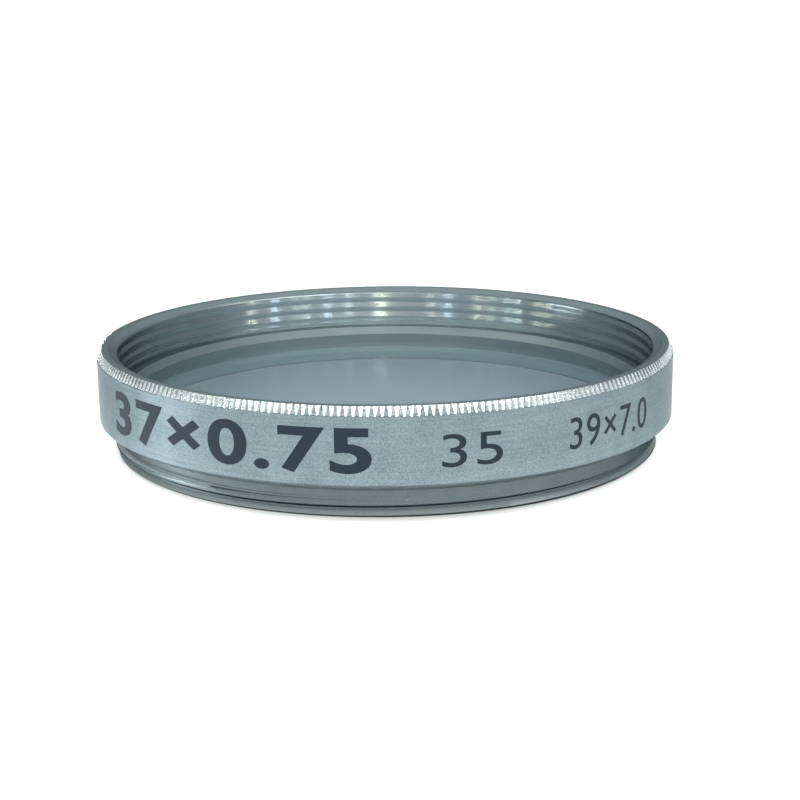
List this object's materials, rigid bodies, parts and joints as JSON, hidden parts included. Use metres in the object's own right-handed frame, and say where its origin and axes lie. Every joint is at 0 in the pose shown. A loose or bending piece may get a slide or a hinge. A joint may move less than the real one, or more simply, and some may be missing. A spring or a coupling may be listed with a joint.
{
  "type": "ultraviolet lens filter",
  "caption": "Round screw-in filter: a knurled metal ring with a male thread below and a female thread in its mouth, holding a flat clear glass under a thin retaining ring.",
  "frame": {"origin": "centre of the spigot's end face, which the filter stands on", "axes": "+Z is the optical axis and points out of the female mouth, away from the lens; +X and +Y lie across it, and the front of the picture faces -Y"},
  "size_m": [0.039, 0.039, 0.007],
  "materials": {
    "frame_aluminium": "satin anodised, fine turning lines round the band",
    "filter_glass": "polished flat, clear",
    "ring_aluminium": "satin anodised"
  },
  "bodies": {
    "root": {"filter_frame": "frame_aluminium", "uv_glass": "filter_glass", "retaining_ring": "ring_aluminium"}
  },
  "joints": []
}
